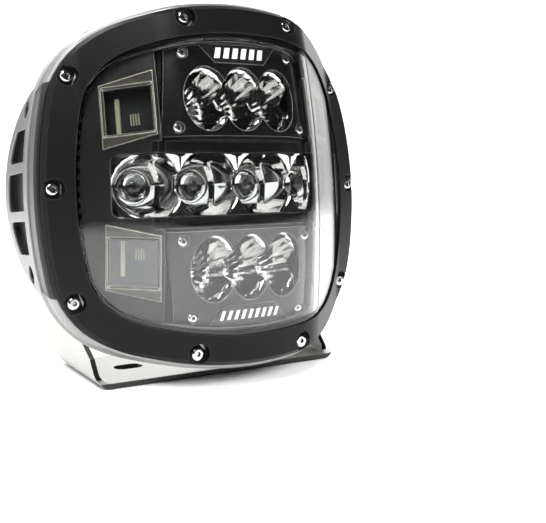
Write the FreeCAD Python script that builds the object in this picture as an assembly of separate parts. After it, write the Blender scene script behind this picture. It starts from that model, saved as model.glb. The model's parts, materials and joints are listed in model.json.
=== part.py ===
"""LED fog light with a tilting lamp head on a U bracket, sizes in millimetres.

Two frames are used. The part's frame has its origin at the centre of the underside of
the bracket's base, X to the lamp's left as seen from behind, Y to the rear, Z up. The
lamp head is drawn in a lamp frame of its own: X across, Y to the rear, Z up, with its
origin behind the middle of the face. place_head() tilts it and puts it on the pivot.

The front of the lamp is one crowned surface: a plan profile (flat middle, round
shoulders, sloping sides, outer flanges) turned about a far horizontal axis. Every
layer behind it is the same surface at another depth.
"""
import FreeCAD
import Part
import math
import os
from FreeCAD import Vector

# ---------------------------------------------------------------- driving dimensions
# Outline of the line of bezel screws; other outlines are offsets from it.
screw_line_half_width = 102.0
screw_line_half_height = 95.0
outline_side_radius = 238.0
outline_corner_radius = 50.0
rim_offset = 6.0                  # bezel rim outside the screw line
opening_offset = -10.7            # lens opening inside the screw line
ring_proud = 2.5                  # front ring outside the bezel rim
housing_proud = 3.5               # rear housing outside the bezel rim

# Crowned front surface.
crown_apex = 48.7                 # how far the middle stands in front of the origin
crown_drop_radius = 442.0         # bend from top to bottom
crown_middle_radius = 200.0
crown_middle_angle = 8.6
crown_shoulder_radius = 45.0
crown_slope_angle = 39.0
crown_slope_length = 43.0
crown_hollow_radius = 20.0
crown_flange_angle = 24.0
crown_margin = 14.0               # the surface is drawn this far past the widest outline

# Layers behind the crowned surface, as depths.
bezel_depth = 5.0
bezel_chamfer = 2.3
ring_depth = 13.5
ring_front_chamfer = 1.4
lens_front_depth = 1.0
lens_thickness = 3.0
lens_flange_front = 5.0
lens_flange_thickness = 3.2
lens_seal_thickness = 1.6
fascia_depth = 6.5
fascia_wall = 3.0
plate_depth = 9.5
plate_thickness = 2.5
ring_seal_thickness = 0.8

# Clearances.
lens_gap = 0.5                    # lens edge to bezel
fascia_gap = 0.7                  # fascia to ring
fit_gap = 0.3                     # moulded parts in their openings
thread_gap = 0.1                  # tapped holes over their screws
pivot_clearance = 0.05            # running clearance of the pivot bolts, on the radius
arm_gap = 0.8                     # thickness of the friction washers

# Bezel fasteners, M4 button heads.
bezel_screw_diameter = 4.0
bezel_screw_head = 7.6
bezel_screw_head_height = 2.2
bezel_screw_length = 16.0
bezel_boss_diameter = 9.5
bezel_screw_socket = 2.5
pocket_diameter = 11.5
pocket_depth = 3.4
side_screw_height = 63.0
top_screw_spread = 34.4

# Reflector plates and their M3 screws.
plate_inner_edge = 26.0
plate_outer_edge = 82.0
plate_inner_half_width = 48.0
plate_outer_half_width = 43.0
plate_corner_radius = 8.0
plate_screw_diameter = 3.0
plate_screw_head = 6.0
plate_screw_head_height = 1.9
plate_screw_length = 6.0
outer_plate_screw = (34.7, 73.3)
inner_plate_screw = (40.1, 31.1)
plate_seat_recess = 0.6
badge_half_width_outer = 25.5
badge_half_width_inner = 16.0
badge_inner_edge = 68.0
badge_outer_edge = 78.5
badge_thickness = 0.8
badge_recess = 0.5

# Triple reflectors.
triple_centre_height = 47.3
triple_pitch = 22.7
triple_cup_width = 27.0
triple_cup_height = 36.6
triple_throat_diameter = 9.0
triple_side_wall = 0.2
triple_half_height = 18.5
reflector_recess_half_width = 49.2

# Row reflector with four ball lenses.
row_pitch = 36.7
row_half_width = 72.0
row_half_height = 17.4
row_corner_radius = 5.0
row_front = -26.0
row_cup_diameter = 40.0
row_throat_diameter = 16.0
row_channel_half_height = 24.0
ball_lens_diameter = 13.6
ball_lens_front = -9.8

# Side windows on the sloping sides.
window_slope_distance = 20.0      # from the foot of the shoulder to the pane's centre
window_depth = 7.0
window_height = 42.0
pane_width = 27.0
pane_height = 25.6
pane_thickness = 1.6
frame_side_border = 2.2
frame_end_border = 5.2
frame_skew = 5.2                  # how far the frame's inner side stands above its outer
frame_thickness = 3.0
frame_bevel = 1.3
window_box_depth = 9.0
window_box_wall = 1.2
light_bar_width = 2.6
light_bar_height = 20.0
light_bar_thickness = 3.0
light_bar_offset = 8.0
light_bar_drop = 1.5

# Heat spreader, boards and LED chips, stacked forward of the housing floor.
floor_front = 8.0
floor_thickness = 4.0
spreader_thickness = 3.0
board_thickness = 1.6
chip_size = 5.0
chip_thickness = 1.2
board_margin = 6.0
spreader_screw_heights = (24.0, 50.0)
spreader_screw_length = 12.0

# Rear body, fins and skirt wings of the rear housing.
housing_wall = 4.0
rear_body_half_width = 71.0
rear_body_half_height = 68.0
rear_body_corner_radius = 14.0
rear_body_wall = 5.0
rear_body_back = 40.0
rim_back_chamfer = 8.0
rim_inside_chamfer = 5.6
flange_step = 3.4                 # the flange is thin along its outer edge
flange_edge = 1.4
fin_plate_thickness = 1.6
fin_plate_edge = 3.0             # plate's edge inside the rear body's
fin_thickness = 2.6
fin_pitch = 8.0
fin_tip = 64.0
fin_curve_radius = 105.0
wing_radius = 65.0
wing_centre = -5.0
wing_height = 62.0
wing_wall = 6.5
slot_depth = 4.5                  # the slots are blind, with a dark floor
slot_edge = 6.0
slot_corner_radius = 2.5
middle_slot_half_height = 11.0
rib_between_slots = 6.0
outer_slot_height = 19.0
oval_slot_height = 11.0
oval_slot_width = 8.0

# Back cover, cable gland and vent.
cover_half_width = 40.0
cover_half_height = 27.0
cover_corner_radius = 6.0
cover_thickness = 3.0
cover_seal_thickness = 1.0
cover_opening_margin = 7.0
cover_screw_inset = 4.0
gland_offset = -20.0
gland_thread = 16.0
gland_hex = 20.0
gland_body_length = 8.0
gland_nut_length = 13.0
gland_bore = 7.0
vent_offset = 22.0
vent_diameter = 12.0
vent_height = 5.0

# Electronics behind the floor.
driver_board_size = (96.0, 70.0)
driver_board_front = 20.0
module_size = (44.0, 30.0, 9.0)

# Bracket and pivot.
head_tilt = 5.0                   # nose up, as drawn
pivot_from_face = 40.0            # lamp frame, behind the origin
head_above_base = 2.5             # level head over the underside of the base
pivot_behind_base_centre = 23.5
plate_steel = 3.0
bend_radius = 4.0
arm_beside_body = 9.5             # arm's outer face beyond the rear body
base_half_depth = 29.5
base_slot_length = 18.0
base_slot_width = 10.0
base_slot_spread = 50.0
base_centre_hole = 10.5
arm_top_radius = 18.0
arm_belly = 16.5                  # how far the arm bulges behind its top
arm_belly_height = 30.0
arm_belly_radius = 20.0
arm_heel_radius = 8.0
arm_elbow_height = 26.0
arm_knee = (-15.2, 14.0)          # where the front edge starts to lean back
arm_elbow_radius = 6.0
pivot_bolt_diameter = 8.0
pivot_bolt_head = 13.0
pivot_bolt_head_height = 5.3
pivot_bolt_grip = 10.0
pivot_washer_diameter = 17.0
pivot_washer_thickness = 1.6
friction_washer_diameter = 24.0
boss_diameter = 26.0

# ---------------------------------------------------------------- worked out once
front_limit = -80.0               # well in front of everything
rear_limit = 120.0                # well behind everything
crown_axis = crown_drop_radius - crown_apex
widest_offset = rim_offset + housing_proud
arm_outer_half_width = rear_body_half_width + arm_beside_body
arm_inner_half_width = arm_outer_half_width - plate_steel
pivot_height = screw_line_half_height + widest_offset + head_above_base
floor_back = floor_front + floor_thickness
spreader_front = floor_front - spreader_thickness
spreader_screw_spread = rear_body_half_width - rear_body_wall / 2.0
triple_half_width = triple_pitch + triple_cup_width / 2.0 + triple_side_wall
board_front = spreader_front - board_thickness
chip_front = board_front - chip_thickness
lens_seal_front = lens_flange_front + lens_flange_thickness
ring_shelf_depth = lens_seal_front + lens_seal_thickness
fascia_outline = opening_offset - lens_gap - lens_thickness - fascia_gap
recess_depth = plate_depth + plate_thickness
housing_front_depth = ring_depth + ring_seal_thickness
sides = (-1, 1)


# ---------------------------------------------------------------- outlines and surfaces
def outline_wire(offset):
    """Closed outline, offset outwards from the screw line, in the plane y = 0."""
    half_width = screw_line_half_width + offset
    half_height = screw_line_half_height + offset
    side = outline_side_radius + offset
    corner = outline_corner_radius + offset
    # The corner arc touches the top arc and the side arc from inside.
    top_centre = half_height - side
    side_centre = half_width - side
    reach = side - corner
    chord = math.hypot(side_centre, top_centre)
    rise = math.sqrt(reach ** 2 - chord ** 2 / 4.0)
    middle = Vector(side_centre / 2.0, 0, top_centre / 2.0)
    away = Vector(-top_centre, 0, -side_centre).normalize()
    centre = middle + away * rise

    def on_top(x):
        return Vector(x, 0, top_centre + math.sqrt(side ** 2 - x ** 2))

    def on_side(z):
        return Vector(side_centre + math.sqrt(side ** 2 - z ** 2), 0, z)

    top_touch = centre + (centre - Vector(0, 0, top_centre)).normalize() * corner
    side_touch = centre + (centre - Vector(side_centre, 0, 0)).normalize() * corner
    corner_mid = centre + (top_touch + side_touch - centre * 2).normalize() * corner

    def turned(point, x_sign, z_sign):
        return Vector(point.x * x_sign, 0, point.z * z_sign)

    edges = [
        Part.Arc(turned(top_touch, -1, 1), on_top(0), top_touch),
        Part.Arc(top_touch, corner_mid, side_touch),
        Part.Arc(side_touch, on_side(0), turned(side_touch, 1, -1)),
        Part.Arc(turned(side_touch, 1, -1), turned(corner_mid, 1, -1), turned(top_touch, 1, -1)),
        Part.Arc(turned(top_touch, 1, -1), turned(on_top(0), 1, -1), turned(top_touch, -1, -1)),
        Part.Arc(turned(top_touch, -1, -1), turned(corner_mid, -1, -1), turned(side_touch, -1, -1)),
        Part.Arc(turned(side_touch, -1, -1), turned(on_side(0), -1, 1), turned(side_touch, -1, 1)),
        Part.Arc(turned(side_touch, -1, 1), turned(corner_mid, -1, 1), turned(top_touch, -1, 1)),
    ]
    return Part.Wire([edge.toShape() for edge in edges])


def prism(offset, front=front_limit, back=rear_limit):
    """Solid of the outline at an offset, between two planes."""
    face = Part.Face(outline_wire(offset))
    face.translate(Vector(0, front, 0))
    return face.extrude(Vector(0, back - front, 0))


def band(outer_offset, inner_offset, front=front_limit, back=rear_limit):
    """Ring-shaped prism between two outlines."""
    return prism(outer_offset, front, back).cut(prism(inner_offset, front - 1, back + 1))


def chamfered_prism(offset, back, chamfer):
    """Prism from the front to a plane, its back edge chamfered."""
    solid = prism(offset, front_limit, back)
    edges = [edge for edge in solid.Edges
             if edge.BoundBox.YMin > back - 0.01 and edge.BoundBox.YLength < 0.01]
    return solid.makeChamfer(chamfer, edges)


def crown_stations():
    """Right half of the plan profile: (x, y, slope in degrees) along each arc and line."""
    x = 0.0
    y = -crown_apex
    stations = [(x, y, 0.0)]

    def arc(radius, start, end):
        """Bend from one slope to another; a hollow bend has a negative radius."""
        nonlocal x, y
        for angle in ((start + end) / 2.0, end):
            before = math.radians(stations[-1][2])
            after = math.radians(angle)
            x += radius * (math.sin(after) - math.sin(before))
            y += radius * (math.cos(before) - math.cos(after))
            stations.append((x, y, angle))

    def line(across, angle):
        nonlocal x, y
        x += across
        y += across * math.tan(math.radians(angle))
        stations.append((x, y, angle))

    arc(crown_middle_radius, 0.0, crown_middle_angle)
    arc(crown_shoulder_radius, crown_middle_angle, crown_slope_angle)
    line(crown_slope_length * math.cos(math.radians(crown_slope_angle)), crown_slope_angle)
    arc(-crown_hollow_radius, crown_slope_angle, crown_flange_angle)
    line(screw_line_half_width + widest_offset + crown_margin - x, crown_flange_angle)
    return stations


def at_depth(station, depth, side=1):
    """Point of the plan profile moved back by a depth, square to the profile."""
    x, y, angle = station
    slope = math.radians(angle)
    return Vector(side * (x - depth * math.sin(slope)), y + depth * math.cos(slope), 0)


def slope_point(distance, depth):
    """Point on the sloping side, a distance from the end of the shoulder."""
    x, y, angle = crown_stations()[4]
    slope = math.radians(angle)
    start = (x + distance * math.cos(slope), y + distance * math.sin(slope), angle)
    return at_depth(start, depth)


def behind_crown(depth, back=rear_limit):
    """Everything behind the crowned surface at a depth."""
    stations = crown_stations()
    apex, mid_a, end_a, mid_b, end_b, end_c, mid_d, end_d, end_e = stations
    edges = []
    for side in sides:
        a = at_depth(apex, depth)
        b = at_depth(end_a, depth, side)
        c = at_depth(end_b, depth, side)
        d = at_depth(end_c, depth, side)
        e = at_depth(end_d, depth, side)
        f = at_depth(end_e, depth, side)
        edges.append(Part.Arc(a, at_depth(mid_a, depth, side), b).toShape())
        edges.append(Part.Arc(b, at_depth(mid_b, depth, side), c).toShape())
        edges.append(Part.LineSegment(c, d).toShape())
        edges.append(Part.Arc(d, at_depth(mid_d, depth, side), e).toShape())
        edges.append(Part.LineSegment(e, f).toShape())
        edges.append(Part.LineSegment(f, Vector(f.x, back, 0)).toShape())
        if side > 0:
            across = Part.LineSegment(Vector(f.x, back, 0), Vector(-f.x, back, 0))
            edges.append(across.toShape())
    face = Part.Face(Part.Wire(Part.__sortEdges__(edges)))
    reach = screw_line_half_height + widest_offset + crown_margin
    half_turn = math.degrees(math.asin(reach / (crown_axis - f.y)))
    axis = Vector(0, crown_axis, 0)
    face.rotate(axis, Vector(1, 0, 0), -half_turn)
    return face.revolve(axis, Vector(1, 0, 0), 2 * half_turn)


def layer(solid, front_depth, back_depth):
    """Part of a solid between two depths."""
    return solid.common(behind_crown(front_depth)).cut(behind_crown(back_depth))


def crown_y(x, z, depth=0.0):
    """Y of the crowned surface at a place and depth, for seating screws and plates."""
    points = [at_depth(station, depth) for station in crown_stations()]
    for near, far in zip(points, points[1:]):
        if near.x <= abs(x) <= far.x:
            flat = near.y + (far.y - near.y) * (abs(x) - near.x) / (far.x - near.x)
            return crown_axis - math.sqrt((crown_axis - flat) ** 2 - z ** 2)
    raise ValueError("outside the crowned surface")


# ---------------------------------------------------------------- small shape helpers
def box(x0, x1, y0, y1, z0, z1):
    return Part.makeBox(x1 - x0, y1 - y0, z1 - z0, Vector(x0, y0, z0))


def rounded_box(half_width, half_height, radius, front, back):
    """Box along Y with its four long edges rounded."""
    solid = box(-half_width, half_width, front, back, -half_height, half_height)
    return round_along(solid, radius, Vector(0, 1, 0))


def round_along(solid, radius, direction):
    """Round the straight edges of a solid that run along a direction."""
    edges = []
    for edge in solid.Edges:
        if edge.Curve.TypeId == "Part::GeomLine":
            if abs(edge.tangentAt(edge.FirstParameter).dot(direction)) > 0.999:
                edges.append(edge)
    return solid.makeFillet(radius, edges)


def rod(diameter, x, z, front, back):
    """Round bar along Y."""
    return Part.makeCylinder(diameter / 2.0, back - front, Vector(x, front, z), Vector(0, 1, 0))


def rod_x(diameter, x0, x1, y, z):
    """Round bar along X."""
    return Part.makeCylinder(diameter / 2.0, x1 - x0, Vector(x0, y, z), Vector(1, 0, 0))


def hexagon(width, x, z, front, back):
    """Hexagonal bar along Y, sized across its flats."""
    radius = width / math.sqrt(3.0)
    corners = []
    for step in range(7):
        angle = math.radians(60.0 * step)
        corners.append(Vector(x + radius * math.cos(angle), front, z + radius * math.sin(angle)))
    return Part.Face(Part.makePolygon(corners)).extrude(Vector(0, back - front, 0))


def ellipse_wire(width, height, x, y, z):
    """Upright ellipse across the Y axis."""
    if abs(width - height) < 1e-6:
        circle = Part.Circle(Vector(x, y, z), Vector(0, 1, 0), width / 2.0)
        return Part.Wire([circle.toShape()])
    if width > height:
        curve = Part.Ellipse(Vector(x + width / 2.0, y, z), Vector(x, y, z + height / 2.0), Vector(x, y, z))
    else:
        curve = Part.Ellipse(Vector(x, y, z + height / 2.0), Vector(x + width / 2.0, y, z), Vector(x, y, z))
    return Part.Wire([curve.toShape()])


def polygon_plate(points, front, back):
    """Plate across the Y axis from (x, z) corners."""
    corners = [Vector(x, front, z) for x, z in points + points[:1]]
    return Part.Face(Part.makePolygon(corners)).extrude(Vector(0, back - front, 0))


def join(shapes):
    solid = shapes[0]
    if len(shapes) > 1:
        solid = solid.fuse(shapes[1:])
    return solid.removeSplitter()


def mirrored_z(shape, level):
    """The shape itself above the middle, its mirror image below it."""
    if level > 0:
        return shape.copy()
    return shape.mirror(Vector(0, 0, 0), Vector(0, 0, 1))


def mirrored_x(shape, side):
    """The shape itself on the right, its mirror image on the left."""
    if side > 0:
        return shape.copy()
    return shape.mirror(Vector(0, 0, 0), Vector(1, 0, 0))


def button_screw(diameter, head, head_height, length, socket):
    """Button-head socket screw along Y: head seat at y = 0, head to the front."""
    seat = rod(head, 0, 0, -head_height, 0)
    front_edges = [edge for edge in seat.Edges
                   if edge.BoundBox.YMax < -head_height + 0.01]
    seat = seat.makeFillet(head_height * 0.7, front_edges)
    seat = seat.cut(hexagon(socket, 0, 0, -head_height - 1, -head_height * 0.45))
    return join([seat, rod(diameter, 0, 0, -0.1, length)])


def set_at(shape, x, y, z):
    moved = shape.copy()
    moved.translate(Vector(x, y, z))
    return moved


# ---------------------------------------------------------------- bezel, ring, lens
def bezel_screw_places():
    """(x, y of the head's seat, z) of the ten bezel screws."""
    corner_x = corner_screw_x()
    spots = [(screw_line_half_width, 0.0)]
    spots += [(corner_x, side_screw_height), (corner_x, -side_screw_height)]
    top_z = top_screw_z()
    spots += [(top_screw_spread, top_z), (top_screw_spread, -top_z)]
    places = []
    for x, z in spots:
        seat = crown_y(x, z) + pocket_depth
        places += [(x, seat, z), (-x, seat, z)]
    return places


def outline_section(value, axis):
    """Largest coordinate of the screw line where it crosses a line."""
    far = 2 * screw_line_half_width
    if axis == "x":
        cut = Part.makeLine(Vector(0, 0, value), Vector(far, 0, value))
    else:
        cut = Part.makeLine(Vector(value, 0, 0), Vector(value, 0, far))
    distance, pairs, _ = outline_wire(0.0).distToShape(cut)
    return pairs[0][0]


def corner_screw_x():
    return outline_section(side_screw_height, "x").x


def top_screw_z():
    return outline_section(top_screw_spread, "z").z


def make_bezel():
    body = layer(band(rim_offset, opening_offset), 0.0, bezel_depth)
    body = body.makeChamfer(bezel_chamfer, rim_edges(body, rim_offset, 0.0))
    for x, seat, z in bezel_screw_places():
        body = body.cut(pocket(x, seat, z))
        body = body.cut(rod(bezel_screw_diameter + fit_gap, x, z, seat - 1, rear_limit))
    return body


def rim_edges(shape, offset, depth):
    """Edges of a shape where an outline meets the crowned surface at a depth."""
    outline = outline_wire(offset)
    edges = []
    for edge in shape.Edges:
        middle = edge.valueAt((edge.FirstParameter + edge.LastParameter) / 2.0)
        flat = Vector(middle.x, 0, middle.z)
        if outline.distToShape(Part.Vertex(flat))[0] < 0.05:
            if abs(middle.y - crown_y(middle.x, middle.z, depth)) < 0.6:
                edges.append(edge)
    return edges


def pocket(x, seat, z):
    """Round counterbore, open towards the rim like a teardrop."""
    bore = rod(pocket_diameter, x, z, front_limit, seat)
    outward = Vector(x / screw_line_half_width, 0, z / screw_line_half_height).normalize()
    tip = Vector(x, seat, z) + outward * pocket_diameter
    side = Vector(-outward.z, 0, outward.x) * (pocket_diameter * 0.42)
    base = Vector(x, seat, z) + outward * (pocket_diameter * 0.22)
    corners = [base + side, tip + side * 0.5, tip - side * 0.5, base - side, base + side]
    mouth = Part.Face(Part.makePolygon(corners)).extrude(Vector(0, front_limit - seat, 0))
    return bore.fuse(mouth)


def make_bezel_screws():
    screw = button_screw(bezel_screw_diameter, bezel_screw_head, bezel_screw_head_height,
                         bezel_screw_length, bezel_screw_socket)
    return Part.makeCompound([set_at(screw, x, seat, z) for x, seat, z in bezel_screw_places()])


def make_front_ring():
    outer = layer(band(rim_offset + ring_proud, opening_offset + 5.5), bezel_depth, ring_depth)
    shelf = layer(band(rim_offset, opening_offset - lens_gap - lens_thickness - 0.2),
                  ring_shelf_depth, ring_depth)
    body = join([outer, shelf])
    body = body.makeChamfer(ring_front_chamfer, rim_edges(body, rim_offset + ring_proud, bezel_depth))
    for x, seat, z in bezel_screw_places():
        body = body.cut(rod(bezel_screw_diameter + fit_gap, x, z, seat, rear_limit))
    return body


def make_lens():
    edge = opening_offset - lens_gap
    dome = layer(prism(edge), lens_front_depth, lens_front_depth + lens_thickness)
    wall = layer(band(edge, edge - lens_thickness), lens_front_depth + 1.0, lens_seal_front)
    flange = layer(band(opening_offset + 5.0, edge - lens_thickness), lens_flange_front, lens_seal_front)
    return join([dome, wall, flange])


def make_lens_seal():
    inner = opening_offset - lens_gap - lens_thickness + 0.5
    return layer(band(opening_offset + 4.8, inner), lens_seal_front, ring_shelf_depth)


def make_ring_seal():
    return layer(band(rim_offset + 1.5, rim_offset - 0.8), ring_depth,
                 ring_depth + ring_seal_thickness)


# ---------------------------------------------------------------- fascia and plates
def make_fascia():
    body = prism(fascia_outline, front_limit, spreader_front).common(behind_crown(fascia_depth))
    recess = box(-reflector_recess_half_width, reflector_recess_half_width, front_limit, rear_limit,
                 -rear_limit, rear_limit)
    body = body.cut(recess.cut(behind_crown(recess_depth)))
    body = body.cut(row_channel(row_channel_half_height, row_front))
    body = body.cut(fascia_hollow())
    body = body.cut(rounded_box(row_half_width + fit_gap, row_half_height + fit_gap,
                                row_corner_radius, front_limit, spreader_front))
    for level in sides:
        body = body.cut(mirrored_z(triple_opening(), level))
        for x, seat, z in plate_screw_places():
            body = body.cut(rod(plate_screw_diameter + thread_gap, x, level * z, front_limit, spreader_front - 1))
        for side in sides:
            body = body.cut(window_place(window_opening(), side, level))
    return body


def row_channel(half_height, back):
    """Space in front of the row reflector."""
    return box(-rear_limit, rear_limit, front_limit, back, -half_height, half_height)


def fascia_hollow():
    inside = prism(fascia_outline - fascia_wall, front_limit, spreader_front + 1)
    half = reflector_recess_half_width + fascia_wall
    middle = box(-half, half, front_limit, rear_limit, -rear_limit, rear_limit)
    under_sides = inside.common(behind_crown(fascia_depth + fascia_wall)).cut(middle)
    under_middle = inside.common(behind_crown(recess_depth + fascia_wall)).common(middle)
    hollow = under_sides.fuse(under_middle)
    return hollow.cut(row_channel(row_channel_half_height + fascia_wall, row_front + fascia_wall))


def triple_opening():
    """Hole in the fascia that the upper triple reflector passes through."""
    half_width = triple_half_width + fit_gap
    low = triple_centre_height - triple_half_height - fit_gap
    high = triple_centre_height + triple_half_height + fit_gap
    return box(-half_width, half_width, front_limit, spreader_front, low, high)


def make_plate(level):
    corners = [(-plate_inner_half_width, plate_inner_edge), (plate_inner_half_width, plate_inner_edge),
               (plate_outer_half_width, plate_outer_edge), (-plate_outer_half_width, plate_outer_edge)]
    blank = polygon_plate(corners, front_limit, rear_limit)
    blank = blank.common(prism(fascia_outline - 0.6))
    blank = layer(blank, plate_depth, recess_depth)
    for step in (-1, 0, 1):
        blank = blank.cut(cup_mouth(step * triple_pitch))
    blank = blank.cut(badge_blank(0.15, badge_recess))
    for x, seat, z in plate_screw_places():
        blank = blank.cut(rod(plate_screw_diameter + fit_gap, x, z, front_limit, rear_limit))
        blank = blank.cut(rod(plate_screw_head + fit_gap, x, z, front_limit, seat))
    return mirrored_z(blank, level)


def cup_mouth(x):
    wire = ellipse_wire(triple_cup_width, triple_cup_height, x, front_limit, triple_centre_height)
    return Part.Face(wire).extrude(Vector(0, -front_limit, 0))


def badge_blank(gap, depth):
    """Badge shape on the plate's front, from its surface down to a depth."""
    corners = [(-badge_half_width_inner - gap, badge_inner_edge - gap),
               (badge_half_width_inner + gap, badge_inner_edge - gap),
               (badge_half_width_outer + gap, badge_outer_edge + gap),
               (-badge_half_width_outer - gap, badge_outer_edge + gap)]
    blank = polygon_plate(corners, front_limit, rear_limit)
    return blank.cut(behind_crown(plate_depth + depth))


def make_badge(level):
    raised = badge_blank(0.0, badge_recess).common(behind_crown(plate_depth + badge_recess - badge_thickness))
    return mirrored_z(raised, level)


def plate_screw_places():
    places = []
    for x, z in (outer_plate_screw, inner_plate_screw):
        for side in sides:
            seat = crown_y(x, z, plate_depth) + plate_seat_recess
            places.append((side * x, seat, z))
    return places


def make_plate_screws():
    screw = button_screw(plate_screw_diameter, plate_screw_head, plate_screw_head_height,
                         plate_screw_length, plate_screw_diameter * 0.6)
    group = Part.makeCompound([set_at(screw, x, seat, z) for x, seat, z in plate_screw_places()])
    return Part.makeCompound([mirrored_z(group, level) for level in sides])


# ---------------------------------------------------------------- reflectors
def cup(width, height, throat, x, z, front, back):
    """Round-sided cup from a wide mouth to a narrow throat."""
    steps = 5
    wires = []
    for step in range(steps + 1):
        along = step / steps
        spread = math.sqrt(1.0 - along)
        wide = throat + (width - throat) * spread
        tall = throat + (height - throat) * spread
        wires.append(ellipse_wire(wide, tall, x, front + (back - front) * along, z))
    return Part.makeLoft(wires, True, False)


def make_triple_reflector(level):
    mouth = -crown_apex + recess_depth
    block = box(-triple_half_width, triple_half_width, front_limit, board_front,
                triple_centre_height - triple_half_height, triple_centre_height + triple_half_height)
    block = block.common(behind_crown(recess_depth + 0.1))
    for step in (-1, 0, 1):
        x = step * triple_pitch
        block = block.cut(cup(triple_cup_width, triple_cup_height, triple_throat_diameter, x,
                              triple_centre_height, mouth - 1.0, board_front - 1.6))
        block = block.cut(rod(triple_throat_diameter, x, triple_centre_height, board_front - 3, board_front + 1))
    return mirrored_z(block, level)


def row_places():
    return [(step - 1.5) * row_pitch for step in range(4)]


def make_row_reflector():
    block = rounded_box(row_half_width, row_half_height, row_corner_radius, row_front, board_front)
    block = block.common(behind_crown(fascia_depth))
    for x in row_places():
        block = block.cut(cup(row_cup_diameter, row_cup_diameter, row_throat_diameter, x, 0.0,
                              row_front - 1.0, board_front - 1.6))
        block = block.cut(rod(row_throat_diameter, x, 0.0, board_front - 3, board_front + 1))
    return block


def make_ball_lens(x):
    """Domed lens on a short barrel."""
    radius = ball_lens_diameter / 2.0
    centre = Vector(x, ball_lens_front + radius, 0)
    ball = Part.makeSphere(radius, centre)
    dome = ball.common(box(x - radius, x + radius, ball_lens_front, centre.y, -radius, radius))
    barrel = rod(ball_lens_diameter, x, 0.0, centre.y, board_front)
    chip_room = rod(chip_size * math.sqrt(2.0) + 1.0, x, 0.0, chip_front - 1.0, board_front + 1.0)
    return join([dome, barrel]).cut(chip_room)


# ---------------------------------------------------------------- side windows
def window_place(shape, side, level):
    """Put a window piece, drawn round the pane's centre facing forward, on the slope."""
    centre = slope_point(window_slope_distance, window_depth)
    placed = shape.copy()
    placed.rotate(Vector(0, 0, 0), Vector(0, 0, 1), crown_slope_angle)
    placed.translate(centre)
    lift = math.degrees(math.asin(window_height / (crown_axis - centre.y)))
    placed.rotate(Vector(0, crown_axis, 0), Vector(1, 0, 0), -lift)
    return mirrored_z(mirrored_x(placed, side), level)


def window_opening():
    """Hole in the fascia: through for the box, stepped for the frame."""
    half_width = pane_width / 2.0 + window_box_wall + fit_gap
    half_height = pane_height / 2.0 + window_box_wall + fit_gap
    through = box(-half_width, half_width, front_limit, window_box_depth + fascia_wall,
                  -half_height, half_height)
    rest = frame_outline(fit_gap).extrude(Vector(0, frame_thickness / 2.0 - front_limit, 0))
    return through.fuse(set_at(rest, 0, front_limit, 0))


def frame_outline(gap):
    """Outer edge of a right-hand window frame; its inner side stands higher."""
    half_width = pane_width / 2.0 + frame_side_border + gap
    half_height = pane_height / 2.0 + frame_end_border + gap
    skew = frame_skew / 2.0
    corners = [Vector(-half_width, 0, -half_height + skew), Vector(half_width, 0, -half_height - skew),
               Vector(half_width, 0, half_height - skew), Vector(-half_width, 0, half_height + skew),
               Vector(-half_width, 0, -half_height + skew)]
    return Part.Face(Part.makePolygon(corners))


def make_window_frame(side, level):
    frame = frame_outline(0.0).extrude(Vector(0, frame_thickness, 0))
    frame.translate(Vector(0, -frame_thickness / 2.0, 0))
    front = -frame_thickness / 2.0
    wide = pane_width / 2.0 + frame_bevel
    tall = pane_height / 2.0 + frame_bevel
    mouth = [Vector(-wide, front, -tall), Vector(wide, front, -tall), Vector(wide, front, tall),
             Vector(-wide, front, tall), Vector(-wide, front, -tall)]
    narrow = pane_width / 2.0
    short = pane_height / 2.0
    throat_y = front + frame_bevel
    throat = [Vector(-narrow, throat_y, -short), Vector(narrow, throat_y, -short),
              Vector(narrow, throat_y, short), Vector(-narrow, throat_y, short),
              Vector(-narrow, throat_y, -short)]
    bevel = Part.makeLoft([Part.makePolygon(mouth), Part.makePolygon(throat)], True, True)
    frame = frame.cut(bevel)
    frame = frame.cut(box(-narrow, narrow, front - 1, frame_thickness, -short, short))
    return window_place(frame, side, level)


def make_window_pane(side, level):
    half_width = pane_width / 2.0 - 0.1
    half_height = pane_height / 2.0 - 0.1
    back = frame_thickness / 2.0
    pane = box(-half_width, half_width, back - pane_thickness, back, -half_height, half_height)
    return window_place(pane, side, level)


def make_window_box(side, level):
    half_width = pane_width / 2.0 + window_box_wall
    half_height = pane_height / 2.0 + window_box_wall
    front = frame_thickness / 2.0
    back = front + window_box_depth
    shell = box(-half_width, half_width, front, back, -half_height, half_height)
    inside = box(-half_width + window_box_wall, half_width - window_box_wall, front - 1,
                 back - window_box_wall, -half_height + window_box_wall, half_height - window_box_wall)
    return window_place(shell.cut(inside), side, level)


def make_light_bar(side, level):
    half = light_bar_width / 2.0
    back = frame_thickness / 2.0 + window_box_depth - window_box_wall
    low = -light_bar_height / 2.0 - light_bar_drop
    bar = box(light_bar_offset - half, light_bar_offset + half, back - light_bar_thickness, back,
              low, low + light_bar_height)
    bar = round_along(bar, half * 0.5, Vector(0, 0, 1))
    return window_place(bar, side, level)


# ---------------------------------------------------------------- boards inside
def make_heat_spreader():
    plate = prism(fascia_outline, spreader_front, floor_front)
    for x, z in spreader_screw_places():
        plate = plate.cut(rod(plate_screw_diameter + fit_gap, x, z, spreader_front - 1, floor_front + 1))
    return plate


def spreader_screw_places():
    places = []
    for side in sides:
        for z in spreader_screw_heights:
            places += [(side * spreader_screw_spread, z), (side * spreader_screw_spread, -z)]
    return places


def make_spreader_screws():
    screw = button_screw(plate_screw_diameter, plate_screw_head, plate_screw_head_height,
                         spreader_screw_length, plate_screw_diameter * 0.6)
    return Part.makeCompound([set_at(screw, x, spreader_front, z) for x, z in spreader_screw_places()])


def make_led_board(half_width, height, half_height):
    return box(-half_width, half_width, board_front, spreader_front, height - half_height, height + half_height)


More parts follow.
